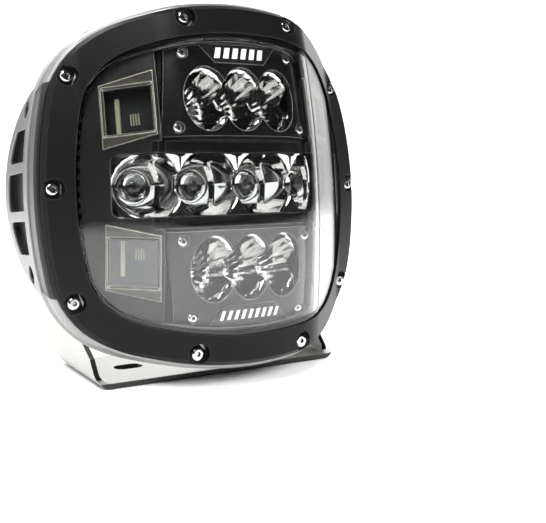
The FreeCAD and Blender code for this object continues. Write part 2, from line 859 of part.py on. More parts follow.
def make_chips(places, height):
    half = chip_size / 2.0
    chips = []
    for x in places:
        chips.append(box(x - half, x + half, chip_front, board_front, height - half, height + half))
    return Part.makeCompound(chips)


def make_driver_board():
    width, height = driver_board_size
    board = box(-width / 2.0, width / 2.0, driver_board_front, driver_board_front + board_thickness,
                -height / 2.0, height / 2.0)
    posts = []
    inner_back = rear_body_back - rear_body_wall
    for side in sides:
        for level in sides:
            posts.append(rod(6.0, side * (width / 2.0 - 5), level * (height / 2.0 - 5),
                             driver_board_front + board_thickness, inner_back))
    return join([board] + posts)


def make_control_module():
    width, height, depth = module_size
    module = box(-width / 2.0, width / 2.0, driver_board_front - depth, driver_board_front, 0, height)
    return round_along(module, 2.0, Vector(0, 1, 0))


# ---------------------------------------------------------------- rear housing
def make_rear_housing():
    outline = widest_offset
    pan = chamfered_prism(outline, floor_back, rim_back_chamfer)
    pan = pan.common(behind_crown(housing_front_depth))
    hollow = chamfered_prism(outline - housing_wall, floor_front, rim_inside_chamfer)
    rim = pan.fuse(housing_flange()).cut(hollow)
    screw_bosses = [rod(bezel_boss_diameter, x, z, front_limit, floor_front)
                    for x, _, z in bezel_screw_places()]
    screw_bosses = [boss.common(behind_crown(housing_front_depth)) for boss in screw_bosses]
    screw_bosses = [boss for boss in screw_bosses if boss.Volume > 1.0]
    shell = join([rim] + screw_bosses).cut(body_cavity(floor_front - 1, floor_back + 1))
    for x, seat, z in bezel_screw_places():
        shell = shell.cut(rod(bezel_screw_diameter + thread_gap, x, z, seat, seat + bezel_screw_length + fit_gap))
    for x, z in spreader_screw_places():
        shell = shell.cut(rod(plate_screw_diameter + fit_gap, x, z, floor_front - 1, floor_back + 1))
    return shell


def housing_flange():
    """Crowned flange behind the ring, thin along its outer edge."""
    outline = widest_offset
    thin_edge = layer(prism(outline), housing_front_depth, housing_front_depth + flange_edge)
    thick_middle = layer(prism(outline - flange_step), housing_front_depth, housing_front_depth + housing_wall)
    return thin_edge.fuse(thick_middle)


def body_cavity(front, back):
    """Room for the electronics inside the heat sink."""
    return rounded_box(rear_body_half_width - rear_body_wall, rear_body_half_height - rear_body_wall,
                       rear_body_corner_radius - rear_body_wall, front, back)


def make_heat_sink():
    """Rear body with pivot bosses and an opening for the back cover."""
    body = rounded_box(rear_body_half_width, rear_body_half_height, rear_body_corner_radius,
                       floor_back, rear_body_back)
    shell = join([body] + [pivot_boss(side) for side in sides])
    shell = shell.cut(body_cavity(floor_back - 1, rear_body_back - rear_body_wall))
    shell = shell.cut(cover_opening(rear_body_back - rear_body_wall - 1, rear_body_back + 1))
    for side in sides:
        start = bore_start(side)
        shell = shell.cut(rod_x(pivot_bolt_diameter + 2 * pivot_clearance, start, start + pivot_bore_length(),
                                pivot_from_face, 0))
    for x, z in cover_screw_places():
        shell = shell.cut(rod(plate_screw_diameter + thread_gap, x, z, rear_body_back - rear_body_wall,
                              rear_body_back + 1))
    for x, z in spreader_screw_places():
        shell = shell.cut(rod(plate_screw_diameter + thread_gap, x, z, floor_back - 1,
                              spreader_front + spreader_screw_length + 0.5))
    return shell


def cover_opening(front, back):
    return rounded_box(cover_half_width - cover_opening_margin, cover_half_height - cover_opening_margin,
                       cover_corner_radius, front, back)


def pivot_bore_length():
    return pivot_bolt_grip + 2.0


def bore_start(side):
    outer = arm_inner_half_width - arm_gap + 1.0
    if side > 0:
        return outer - pivot_bore_length()
    return -outer


def boss_inner_end():
    return arm_inner_half_width - arm_gap - pivot_bolt_grip - 5.0


def pivot_boss(side):
    outer = arm_inner_half_width - arm_gap
    inner = boss_inner_end()
    boss = rod_x(boss_diameter, inner, outer, pivot_from_face, 0)
    foot = box(inner, outer, floor_back, pivot_from_face, -boss_diameter / 2.0, boss_diameter / 2.0)
    return mirrored_x(boss.fuse(foot), side)


def make_fin_plate():
    """Plate bonded to the rear body, with upright fins round the back cover."""
    front = rear_body_back
    back = front + fin_plate_thickness
    plate = rounded_box(rear_body_half_width - fin_plate_edge, rear_body_half_height - fin_plate_edge,
                        rear_body_corner_radius - fin_plate_edge, front, back)
    gap = fin_plate_edge
    window = box(-cover_half_width - gap, cover_half_width + gap, front - 1, fin_tip + 1,
                 -cover_half_height - gap, cover_half_height + gap)
    limit = rod_x(2 * fin_curve_radius, -rear_limit, rear_limit, fin_tip - fin_curve_radius, 0)
    tall = rear_body_half_height - 2 * fin_plate_edge
    fins = []
    count = int((rear_body_half_width - fin_plate_edge - fin_thickness) // fin_pitch)
    for index in range(-count, count + 1):
        x = index * fin_pitch
        fin = box(x - fin_thickness / 2.0, x + fin_thickness / 2.0, back - 0.5, fin_tip, -tall, tall)
        fins.append(fin.common(limit))
    bank = join([plate] + fins).cut(window)
    clear = boss_diameter / 2.0 + fit_gap
    inner = boss_inner_end() - fit_gap
    for side in sides:
        room = box(inner, 2 * inner, front - 1, fin_tip + 1, -clear, clear)
        bank = bank.cut(mirrored_x(room, side))
    return bank


def wing_limit(inset):
    """Round side view of the skirt wings."""
    return rod_x(2 * (wing_radius - inset), -rear_limit, rear_limit, wing_centre, 0)


def make_side_skirt(side):
    """Slotted wing behind the ring, seated on the housing's flange."""
    outer = widest_offset
    skirt = band(outer, outer - wing_wall, front_limit, rear_limit)
    skirt = skirt.common(behind_crown(housing_front_depth)).common(wing_limit(0.0))
    half = screw_line_half_width - 20.0
    skirt = skirt.common(box(half, 2 * half, front_limit, rear_limit, -wing_height, wing_height))
    slot_floor = prism(outer - slot_depth)
    for slot in wing_slots():
        skirt = skirt.cut(slot.cut(slot_floor))
    skirt = skirt.cut(housing_flange())
    return mirrored_x(skirt, side)


def wing_slots():
    """Slots of the right-hand wing: one in the middle, two above, two below."""
    room = behind_crown(ring_depth + slot_edge).common(wing_limit(slot_edge))
    outer = 2 * screw_line_half_width
    inner = screw_line_half_width - 10.0
    middle = box(inner, outer, front_limit, rear_limit, -middle_slot_half_height, middle_slot_half_height)
    low = middle_slot_half_height + rib_between_slots
    high = low + outer_slot_height
    slots = [middle.common(room)]
    upper = box(inner, outer, front_limit, rear_limit, low, high).common(room)
    slots += [mirrored_z(upper, level) for level in sides]
    slots = [round_along(slot, slot_corner_radius, Vector(1, 0, 0)) for slot in slots]
    oval_z = high + rib_between_slots + oval_slot_height / 2.0
    wing_front = crown_y(screw_line_half_width, oval_z, housing_front_depth)
    wing_back = wing_centre + math.sqrt(wing_radius ** 2 - oval_z ** 2)
    oval_y = (wing_front + wing_back) / 2.0
    wire = ellipse_wire(oval_slot_width, oval_slot_height, 0, 0, 0)
    oval = Part.Face(wire)
    oval.rotate(Vector(0, 0, 0), Vector(0, 0, 1), 90)
    oval.translate(Vector(inner, oval_y, oval_z))
    oval = oval.extrude(Vector(outer - inner, 0, 0))
    slots += [mirrored_z(oval, level) for level in sides]
    return slots


# ---------------------------------------------------------------- back cover
def cover_screw_places():
    x = cover_half_width - cover_screw_inset
    z = cover_half_height - cover_screw_inset
    return [(side * x, level * z) for side in sides for level in sides]


def make_cover_seal():
    front = rear_body_back
    seal = rounded_box(cover_half_width, cover_half_height, cover_corner_radius, front, front + cover_seal_thickness)
    return with_cover_holes(seal.cut(cover_opening(front - 1, front + cover_seal_thickness + 1)))


def make_back_cover():
    front = rear_body_back + cover_seal_thickness
    cover = rounded_box(cover_half_width, cover_half_height, cover_corner_radius, front, front + cover_thickness)
    rear_edges = [edge for edge in cover.Edges if edge.BoundBox.YMin > front + cover_thickness - 0.01]
    cover = cover.makeChamfer(0.8, rear_edges)
    cover = cover.cut(rod(gland_thread + 0.2, gland_offset, 0, front - 1, front + cover_thickness + 1))
    cover = cover.cut(rod(vent_diameter * 0.6 + 0.2, vent_offset, 0, front - 1, front + cover_thickness + 1))
    return with_cover_holes(cover)


def with_cover_holes(shape):
    for x, z in cover_screw_places():
        shape = shape.cut(rod(plate_screw_diameter + fit_gap, x, z, rear_body_back - 1, rear_limit))
    return shape


def make_cover_screws():
    screw = button_screw(plate_screw_diameter, plate_screw_head, plate_screw_head_height,
                         plate_screw_length, plate_screw_diameter * 0.6)
    screw.rotate(Vector(0, 0, 0), Vector(0, 0, 1), 180)
    seat = rear_body_back + cover_seal_thickness + cover_thickness
    return Part.makeCompound([set_at(screw, x, seat, z) for x, z in cover_screw_places()])


def gland_front():
    return rear_body_back + cover_seal_thickness - 2.0


def make_gland_body():
    seat = rear_body_back + cover_seal_thickness + cover_thickness
    body = join([rod(gland_thread, gland_offset, 0, gland_front(), seat + gland_body_length),
                 hexagon(gland_hex, gland_offset, 0, seat, seat + gland_body_length - 2.0)])
    return body.cut(rod(gland_bore, gland_offset, 0, gland_front() - 1, rear_limit))


def make_gland_nut():
    front = rear_body_back + cover_seal_thickness + cover_thickness + gland_body_length
    nut = hexagon(gland_hex, gland_offset, 0, front, front + gland_nut_length * 0.6)
    dome = Part.makeCone(gland_hex / 2.0, gland_hex * 0.32, gland_nut_length * 0.4,
                         Vector(gland_offset, front + gland_nut_length * 0.6, 0), Vector(0, 1, 0))
    nut = join([nut, dome])
    return nut.cut(rod(gland_bore, gland_offset, 0, front - 1, rear_limit))


def make_vent_plug():
    seat = rear_body_back + cover_seal_thickness + cover_thickness
    head = rod(vent_diameter, vent_offset, 0, seat, seat + vent_height)
    edges = [edge for edge in head.Edges if edge.BoundBox.YMin > seat + vent_height - 0.01]
    head = head.makeFillet(1.5, edges)
    return join([head, rod(vent_diameter * 0.6, vent_offset, 0, gland_front(), seat + 0.1)])


# ---------------------------------------------------------------- bracket and pivot
def make_bracket():
    outer = arm_outer_half_width
    top = pivot_height + arm_top_radius
    width = 2 * rear_limit
    outside = box(-outer, outer, -width, width, 0, top + plate_steel)
    outside = round_bends(outside, bend_radius + plate_steel)
    inside = box(-arm_inner_half_width, arm_inner_half_width, -width - 1, width + 1, plate_steel, top + 9)
    inside = round_bends(inside, bend_radius)
    body = outside.cut(inside).common(arm_side_view())
    for side in sides:
        body = body.cut(set_at(base_slot(), side * base_slot_spread, 0, 0))
    body = body.cut(Part.makeCylinder(base_centre_hole / 2.0, plate_steel + 2, Vector(0, 0, -1)))
    flat = arm_inner_half_width - bend_radius
    body = body.cut(box(-flat, flat, base_half_depth, width, -1, plate_steel + 1))
    return body.cut(rod_x(pivot_bolt_diameter + 2 * pivot_clearance, -outer - 1, outer + 1,
                          pivot_behind_base_centre, pivot_height))


def base_slot():
    """Round-ended slot along X through the base."""
    end = base_slot_width / 2.0
    reach = base_slot_length / 2.0 - end
    deep = plate_steel + 2.0
    ends = [Part.makeCylinder(end, deep, Vector(side * reach, 0, -1)) for side in sides]
    return ends[0].fuse([ends[1], box(-reach, reach, -end, end, -1, deep - 1)]).removeSplitter()


def round_bends(solid, radius):
    """Round the two lower edges that run along Y."""
    low = solid.BoundBox.ZMin
    edges = [edge for edge in solid.Edges
             if edge.BoundBox.YLength > 1 and edge.BoundBox.ZMax < low + 0.01 and edge.BoundBox.XLength < 0.01]
    return solid.makeFillet(radius, edges)


def arm_side_view():
    """Side view of the bracket: arms that lean back from the base and rise to the pivot."""
    front_arm = pivot_behind_base_centre - arm_top_radius
    rear_arm = pivot_behind_base_centre + arm_top_radius
    belly = Vector(0, rear_arm + arm_belly, arm_belly_height)
    heel = Vector(0, base_half_depth + plate_steel, 0)
    elbow = Vector(0, front_arm, arm_elbow_height)
    corners = [Vector(0, -base_half_depth, 0), heel, belly, Vector(0, rear_arm, pivot_height),
               Vector(0, front_arm, pivot_height), elbow,
               Vector(0, arm_knee[0], arm_knee[1]),
               Vector(0, -base_half_depth + 2 * plate_steel, plate_steel + 1.0),
               Vector(0, -base_half_depth, plate_steel)]
    face = Part.Face(Part.makePolygon(corners + corners[:1]))
    side_view = face.extrude(Vector(2 * rear_limit, 0, 0))
    side_view.translate(Vector(-rear_limit, 0, 0))
    for corner, radius in ((belly, arm_belly_radius), (heel, arm_heel_radius), (elbow, arm_elbow_radius)):
        edges = [edge for edge in side_view.Edges if edge.BoundBox.XLength > 1
                 and abs(edge.BoundBox.Center.y - corner.y) < 0.01
                 and abs(edge.BoundBox.Center.z - corner.z) < 0.01]
        side_view = side_view.makeFillet(radius, edges)
    cap = rod_x(2 * arm_top_radius, -rear_limit, rear_limit, pivot_behind_base_centre, pivot_height)
    return side_view.fuse(cap)


def make_pivot_bolts():
    """Hexagon-head bolts, turned with a spanner from behind the side skirts."""
    bolts = []
    for side in sides:
        start = arm_outer_half_width + pivot_washer_thickness
        tip = start - plate_steel - pivot_bolt_grip
        shank = rod_x(pivot_bolt_diameter, tip, start + 0.1, pivot_from_face, 0)
        head = hexagon(pivot_bolt_head, 0, 0, 0, pivot_bolt_head_height)
        head.rotate(Vector(0, 0, 0), Vector(0, 0, 1), -90)
        head.translate(Vector(start, pivot_from_face, 0))
        bolts.append(mirrored_x(join([shank, head]), side))
    return Part.makeCompound(bolts)


def flat_ring(outer, inner, x0, x1):
    ring = rod_x(outer, x0, x1, pivot_from_face, 0)
    return ring.cut(rod_x(inner, x0 - 1, x1 + 1, pivot_from_face, 0))


def make_pivot_washers():
    bore = pivot_bolt_diameter + 2 * fit_gap
    ring = flat_ring(pivot_washer_diameter, bore, arm_outer_half_width,
                     arm_outer_half_width + pivot_washer_thickness)
    return Part.makeCompound([mirrored_x(ring, side) for side in sides])


def make_friction_washers():
    bore = pivot_bolt_diameter + 2 * fit_gap
    ring = flat_ring(friction_washer_diameter, bore, arm_inner_half_width - arm_gap, arm_inner_half_width)
    return Part.makeCompound([mirrored_x(ring, side) for side in sides])


# ---------------------------------------------------------------- build and write
def place_head(shape):
    """Lamp frame to part frame: tilt the nose up and put the head on its pivot."""
    placed = shape.copy()
    placed.rotate(Vector(0, pivot_from_face, 0), Vector(1, 0, 0), -head_tilt)
    placed.translate(Vector(0, pivot_behind_base_centre - pivot_from_face, pivot_height))
    return placed


def head_parts():
    parts = {
        "bezel": make_bezel(),
        "bezel_screws": make_bezel_screws(),
        "front_ring": make_front_ring(),
        "lens": make_lens(),
        "lens_seal": make_lens_seal(),
        "ring_seal": make_ring_seal(),
        "rear_housing": make_rear_housing(),
        "heat_sink": make_heat_sink(),
        "side_skirt_left": make_side_skirt(-1),
        "side_skirt_right": make_side_skirt(1),
        "fin_plate": make_fin_plate(),
        "fascia": make_fascia(),
        "plate_screws": make_plate_screws(),
        "row_reflector": make_row_reflector(),
        "heat_spreader": make_heat_spreader(),
        "spreader_screws": make_spreader_screws(),
        "driver_board": make_driver_board(),
        "control_module": make_control_module(),
        "back_cover": make_back_cover(),
        "cover_seal": make_cover_seal(),
        "cover_screws": make_cover_screws(),
        "gland_body": make_gland_body(),
        "gland_nut": make_gland_nut(),
        "vent_plug": make_vent_plug(),
        "pivot_bolts": make_pivot_bolts(),
        "pivot_washers": make_pivot_washers(),
        "friction_washers": make_friction_washers(),
        "led_board_row": make_led_board(row_half_width - board_margin, 0.0, row_half_height - board_margin),
        "led_chips_row": make_chips(row_places(), 0.0),
    }
    triple_places = [step * triple_pitch for step in (-1, 0, 1)]
    for index, x in enumerate(row_places(), start=1):
        parts["ball_lens_%d" % index] = make_ball_lens(x)
    for level, word in ((1, "upper"), (-1, "lower")):
        height = level * triple_centre_height
        parts["reflector_plate_" + word] = make_plate(level)
        parts["triple_reflector_" + word] = make_triple_reflector(level)
        parts["badge_" + word] = make_badge(level)
        parts["led_board_" + word] = make_led_board(triple_half_width, height, triple_half_height - board_margin)
        parts["led_chips_" + word] = make_chips(triple_places, height)
        for side, hand in ((-1, "left"), (1, "right")):
            name = word + "_" + hand
            parts["window_frame_" + name] = make_window_frame(side, level)
            parts["window_pane_" + name] = make_window_pane(side, level)
            parts["window_box_" + name] = make_window_box(side, level)
            parts["light_bar_" + name] = make_light_bar(side, level)
    return parts


def main():
    os.makedirs("parts", exist_ok=True)
    nodes = {"bracket": make_bracket()}
    for name, shape in head_parts().items():
        nodes[name] = place_head(shape)
    for name, shape in nodes.items():
        shape.exportStep(os.path.join("parts", name + ".step"))
        print("%-28s solids %2d  volume %10.1f  valid %s" % (name, len(shape.Solids), shape.Volume, shape.isValid()))


main()
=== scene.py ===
"""Studio scene of an LED fog light: finishes for its parts and the optics inside its face."""
import bpy
import bmesh
import json
import math
from mathutils import Matrix, Vector


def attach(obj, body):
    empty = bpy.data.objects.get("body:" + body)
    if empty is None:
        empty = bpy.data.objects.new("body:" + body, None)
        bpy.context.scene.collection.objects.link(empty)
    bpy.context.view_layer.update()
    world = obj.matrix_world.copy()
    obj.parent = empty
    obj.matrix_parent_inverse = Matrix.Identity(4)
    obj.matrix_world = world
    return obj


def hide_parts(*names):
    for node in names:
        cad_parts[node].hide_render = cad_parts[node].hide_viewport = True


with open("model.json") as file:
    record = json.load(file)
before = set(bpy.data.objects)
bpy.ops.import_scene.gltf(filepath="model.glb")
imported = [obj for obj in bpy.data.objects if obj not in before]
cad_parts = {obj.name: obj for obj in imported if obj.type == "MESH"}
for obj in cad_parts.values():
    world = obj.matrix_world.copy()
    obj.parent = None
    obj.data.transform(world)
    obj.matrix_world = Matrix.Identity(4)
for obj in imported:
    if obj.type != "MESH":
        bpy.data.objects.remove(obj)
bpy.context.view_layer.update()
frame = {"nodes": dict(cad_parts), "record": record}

MM = 0.001
SIDES = (-1, 1)
LEVELS = ((1, "upper"), (-1, "lower"))

# Places and sizes that repeat the model's, in its millimetres. The lamp's own axes are X across,
# Y to the rear and Z up, with the origin behind the middle of the face.
TILT = 5.0                        # how far the nose is up, in degrees
PIVOT = Vector((0.0, 23.5, 107.0))
PIVOT_FROM_FACE = 40.0

# Crowned face: a plan profile turned about a far axis along X.
CROWN_APEX = 48.7
CROWN_AXIS = 393.3
SLOPE_START = (51.5, -36.95)      # X and Y where the straight sloping side begins
SLOPE_ANGLE = math.radians(39.0)
SLOPE = math.tan(SLOPE_ANGLE)
SLOPE_STRETCH = 1.287             # depth under the slope, measured along Y
SHOULDER_FALL = 11.75             # how far the face falls back from its apex to the slope
SHOULDER_POWER = 2.4              # roundness of that fall
PLATE_DEPTH = 9.5                 # front of the reflector plates, under the face

# Side skirts.
SIDE_CENTRE = 136.0               # arc of a skirt's outer face: its centre is this far past the middle
SIDE_RADIUS = 247.5
SLOT_DEPTH = 4.5
SLOT_FLOOR_MARGIN = 0.7           # the shade reaches this far under the slot's floor
SKIRT_CENTRE = -5.0               # round rear edge of the skirts
SKIRT_RADIUS = 65.0
SKIRT_EDGE = 3.0                  # rear edge that stays bright

# Mirror bowls.
TRIPLE_HEIGHT = 47.3
TRIPLE_PITCH = 22.7
TRIPLE_MOUTH = (27.0, 36.6)
TRIPLE_THROAT_RADIUS = 4.5
TRIPLE_FRONT = -37.4
TRIPLE_HALF_HEIGHT = 18.4
ROW_PITCH = 36.7
ROW_MOUTH = (40.0, 40.0)
ROW_THROAT_RADIUS = 8.0
ROW_FRONT = -26.0
ROW_HALF_HEIGHT = 17.3
BOWL_BACK = 1.6
BOWL_SKIN = 0.8
BOWL_DEPTH = 12.9                 # no bowl comes nearer to the face than this
WELD = 0.02                       # copies that meet are joined within this distance

# Bright collars round the ball lenses.
COLLAR_INNER = 6.95
COLLAR_OUTER = 7.7
COLLAR_FRONT = -4.4
COLLAR_BACK = -2.6

# Printed bars on the plates: height of the row, how many, pitch, width, height and lean.
MARK_ROWS = {"upper": (73.6, 6, 5.6, 3.3, 6.2, 0.9),
             "lower": (73.4, 9, 4.4, 2.0, 5.0, 0.8)}
MARK_THICKNESS = 0.6
MARK_PROUD = 0.5

# Side windows and the ribs on the floors of their boxes.
WINDOW_DISTANCE = 20.0            # along the slope to a window's middle
WINDOW_DEPTH = 7.0
WINDOW_HEIGHT = 42.0
RIB_COUNT = 4
RIB_PITCH = 1.5
RIB_WIDTH = 0.7
RIB_HEIGHT = 6.5
RIB_THICKNESS = 1.0
RIB_PLACE = Vector((-1.4, 8.2, -4.0))   # in the window's own axes


def head_matrix():
    """From the lamp's own axes, in millimetres, to the row frame in metres."""
    to_pivot = Matrix.Translation(Vector((0.0, -PIVOT_FROM_FACE, 0.0)))
    tilt = Matrix.Rotation(math.radians(-TILT), 4, "X")
    return Matrix.Scale(MM, 4) @ Matrix.Translation(PIVOT) @ tilt @ to_pivot


HEAD = head_matrix()


# ------------------------------------------------------------------ node helpers
def new_group(name, inputs, outputs):
    """An empty shader group with named sockets; each entry is (name, type, default)."""
    tree = bpy.data.node_groups.new(name, "ShaderNodeTree")
    for label, kind, value in inputs:
        socket = tree.interface.new_socket(label, in_out="INPUT", socket_type=kind)
        if value is not None:
            socket.default_value = value
    for label, kind in outputs:
        tree.interface.new_socket(label, in_out="OUTPUT", socket_type=kind)
    return tree, tree.nodes.new("NodeGroupInput"), tree.nodes.new("NodeGroupOutput")


def node(tree, kind, settings=None, **values):
    """A node with its properties set and its inputs given values or links by name."""
    made = tree.nodes.new(kind)
    for key, value in (settings or {}).items():
        setattr(made, key, value)
    for key, value in values.items():
        socket = made.inputs[int(key[1:])] if key[1:].isdigit() else made.inputs[key.replace("_", " ")]
        if isinstance(value, bpy.types.NodeSocket):
            tree.links.new(value, socket)
        else:
            socket.default_value = value
    return made


def maths(tree, operation, first, second=0.0):
    """Result of one sum on two values or links."""
    return node(tree, "ShaderNodeMath", {"operation": operation}, i0=first, i1=second).outputs[0]


def ramp(tree, value, low, high):
    """Value stretched so that low becomes 0 and high becomes 1."""
    return node(tree, "ShaderNodeMapRange", None, Value=value, From_Min=low, From_Max=high).outputs[0]


def length(tree, first, second):
    """Distance of a point from the origin of two axes."""
    squares = [maths(tree, "MULTIPLY", value, value) for value in (first, second)]
    return maths(tree, "SQRT", maths(tree, "ADD", *squares))


def blend(tree, factor, first, second):
    """Colour between the first, at factor 0, and the second, at factor 1."""
    return node(tree, "ShaderNodeMix", {"data_type": "RGBA"}, i0=factor, i6=first, i7=second).outputs[2]


# ------------------------------------------------------------------ shared effects
DUST = (0.45, 0.44, 0.42, 1)
# Colour of the painted shade in sockets and grooves.
RECESS_SHADE_COLOUR = (0.01, 0.01, 0.01, 1)
# Colour of the painted shade in the skirt slots.
SLOT_SHADE_COLOUR = (0.006, 0.006, 0.006, 1)
CUT_EDGE = (0.06, 0.06, 0.058, 1)

# Ranges over which a mask runs from 0 to 1.
SPECKS = (0.62, 0.74)             # noise that counts as dust
EDGE_WEAR_AND_HIGHLIGHT = (0.985, 0.80)              # cosine between the rounded and the flat normal
OPEN_SKY = (0.35, 0.85)           # share of the sky that a recess sees
FACING_Y = (0.35, 0.7)            # part of a normal along Y on a cut edge
SPECK_SCALE = 2600.0
COARSE_SCALE = 0.12               # coarse grain's scale, as a share of the fine grain's
BRUSHED_DULLNESS = 0.12


def make_handled_surface():
    """Slow changes of tone and gloss, with fine dust, as on a part that has been handled."""
    tree, given, result = new_group(
        "handled surface",
        [("Colour", "NodeSocketColor", (0.5, 0.5, 0.5, 1)), ("Tone Change", "NodeSocketFloat", 0.1),
         ("Patch Size", "NodeSocketFloat", 0.02), ("Roughness", "NodeSocketFloat", 0.4),
         ("Roughness Change", "NodeSocketFloat", 0.1), ("Dust", "NodeSocketFloat", 0.05)],
        [("Colour", "NodeSocketColor"), ("Roughness", "NodeSocketFloat")])
    place = node(tree, "ShaderNodeTexCoord").outputs["Object"]
    scale = maths(tree, "DIVIDE", 1.0, given.outputs["Patch Size"])
    patches = node(tree, "ShaderNodeTexNoise", None, Vector=place, Scale=scale, Detail=5.0).outputs["Fac"]
    specks = node(tree, "ShaderNodeTexNoise", None, Vector=place, Scale=SPECK_SCALE,
                  Detail=2.0).outputs["Fac"]
    tone = maths(tree, "MULTIPLY", maths(tree, "SUBTRACT", patches, 0.5), given.outputs["Tone Change"])
    lighter = node(tree, "ShaderNodeHueSaturation", None, Color=given.outputs["Colour"],
                   Value=maths(tree, "ADD", tone, 1.0)).outputs[0]
    dusty = maths(tree, "MULTIPLY", ramp(tree, specks, *SPECKS), given.outputs["Dust"])
    colour = blend(tree, dusty, lighter, DUST)
    spread = maths(tree, "MULTIPLY", maths(tree, "SUBTRACT", patches, 0.5),
                   given.outputs["Roughness Change"])
    rough = maths(tree, "ADD", maths(tree, "ADD", given.outputs["Roughness"], spread), dusty)
    tree.links.new(colour, result.inputs["Colour"])
    tree.links.new(rough, result.inputs["Roughness"])
    return tree


def make_cast_grain():
    """Fine and coarse grain of a cast or moulded skin, as a height."""
    tree, given, result = new_group(
        "cast grain", [("Grain Size", "NodeSocketFloat", 0.0006), ("Depth", "NodeSocketFloat", 0.5)],
        [("Height", "NodeSocketFloat")])
    place = node(tree, "ShaderNodeTexCoord").outputs["Object"]
    scale = maths(tree, "DIVIDE", 1.0, given.outputs["Grain Size"])
    fine = node(tree, "ShaderNodeTexNoise", None, Vector=place, Scale=scale, Detail=3.0).outputs["Fac"]
    coarse = node(tree, "ShaderNodeTexNoise", None, Vector=place,
                  Scale=maths(tree, "MULTIPLY", scale, COARSE_SCALE), Detail=2.0).outputs["Fac"]
    height = maths(tree, "MULTIPLY", maths(tree, "ADD", fine, coarse), given.outputs["Depth"])
    tree.links.new(height, result.inputs["Height"])
    return tree


def make_brushing():
    """Long fine scratches along one axis, as a height and a mask."""
    tree, given, result = new_group(
        "brushing", [("Across", "NodeSocketVector", (1, 1, 1)), ("Strength", "NodeSocketFloat", 0.5)],
        [("Height", "NodeSocketFloat"), ("Lines", "NodeSocketFloat")])
    place = node(tree, "ShaderNodeTexCoord").outputs["Object"]
    stretched = node(tree, "ShaderNodeVectorMath", {"operation": "MULTIPLY"}, i0=place,
                     i1=given.outputs["Across"]).outputs[0]
    lines = node(tree, "ShaderNodeTexNoise", None, Vector=stretched, Scale=1.0, Detail=4.0).outputs["Fac"]
    tree.links.new(maths(tree, "MULTIPLY", lines, given.outputs["Strength"]), result.inputs["Height"])
    tree.links.new(lines, result.inputs["Lines"])
    return tree


def make_soft_edges():
    """Lighter colour where a bevelled normal leaves the flat one: partly wear, partly painted highlight
    on the edges.
    """
    tree, given, result = new_group(
        "soft edges", [("Radius", "NodeSocketFloat", 0.0005)],
        [("Normal", "NodeSocketVector"), ("Edge", "NodeSocketFloat")])
    rounded = node(tree, "ShaderNodeBevel", {"samples": 4}, Radius=given.outputs["Radius"]).outputs[0]
    flat = node(tree, "ShaderNodeNewGeometry").outputs["Normal"]
    along = node(tree, "ShaderNodeVectorMath", {"operation": "DOT_PRODUCT"}, i0=rounded,
                 i1=flat).outputs["Value"]
    tree.links.new(rounded, result.inputs["Normal"])
    tree.links.new(ramp(tree, along, *EDGE_WEAR_AND_HIGHLIGHT), result.inputs["Edge"])
    return tree


def make_slot_shade():
    """Mask for painted shade in the blind slots of the side skirts: below the outer face, inside the rear
    edge.
    """
    tree, given, result = new_group(
        "slot shade", [("Start", "NodeSocketFloat", 0.5), ("End", "NodeSocketFloat", 1.4)],
        [("Mask", "NodeSocketFloat")])
    place = node(tree, "ShaderNodeTexCoord").outputs["Object"]
    level = node(tree, "ShaderNodeVectorRotate", {"rotation_type": "X_AXIS"}, Vector=place,
                 Center=PIVOT * MM, Angle=math.radians(TILT)).outputs[0]
    lamp = node(tree, "ShaderNodeVectorMath", {"operation": "MULTIPLY_ADD"}, i0=level,
                i1=[1.0 / MM] * 3, i2=Vector((0, PIVOT_FROM_FACE, 0)) - PIVOT).outputs[0]
    split = node(tree, "ShaderNodeSeparateXYZ", None, i0=lamp)
    across = maths(tree, "ADD", maths(tree, "ABSOLUTE", split.outputs["X"]), SIDE_CENTRE)
    from_side = length(tree, across, split.outputs["Z"])
    deep = maths(tree, "SUBTRACT", SIDE_RADIUS, from_side)
    below = maths(tree, "MULTIPLY", ramp(tree, deep, given.outputs["Start"], given.outputs["End"]),
                  maths(tree, "LESS_THAN", deep, SLOT_DEPTH + SLOT_FLOOR_MARGIN))
    from_hub = length(tree, maths(tree, "ADD", split.outputs["Y"], -SKIRT_CENTRE), split.outputs["Z"])
    inside = maths(tree, "LESS_THAN", from_hub, SKIRT_RADIUS - SKIRT_EDGE)
    tree.links.new(maths(tree, "MULTIPLY", below, inside), result.inputs["Mask"])
    return tree


HANDLED = make_handled_surface()
GRAIN = make_cast_grain()
BRUSHING = make_brushing()
EDGES = make_soft_edges()
SLOT_SHADE = make_slot_shade()


def group(tree, kind, **values):
    """One of the shared effects, with its inputs set by name."""
    made = tree.nodes.new("ShaderNodeGroup")
    made.node_tree = kind
    for key, value in values.items():
        made.inputs[key.replace("_", " ")].default_value = value
    return made


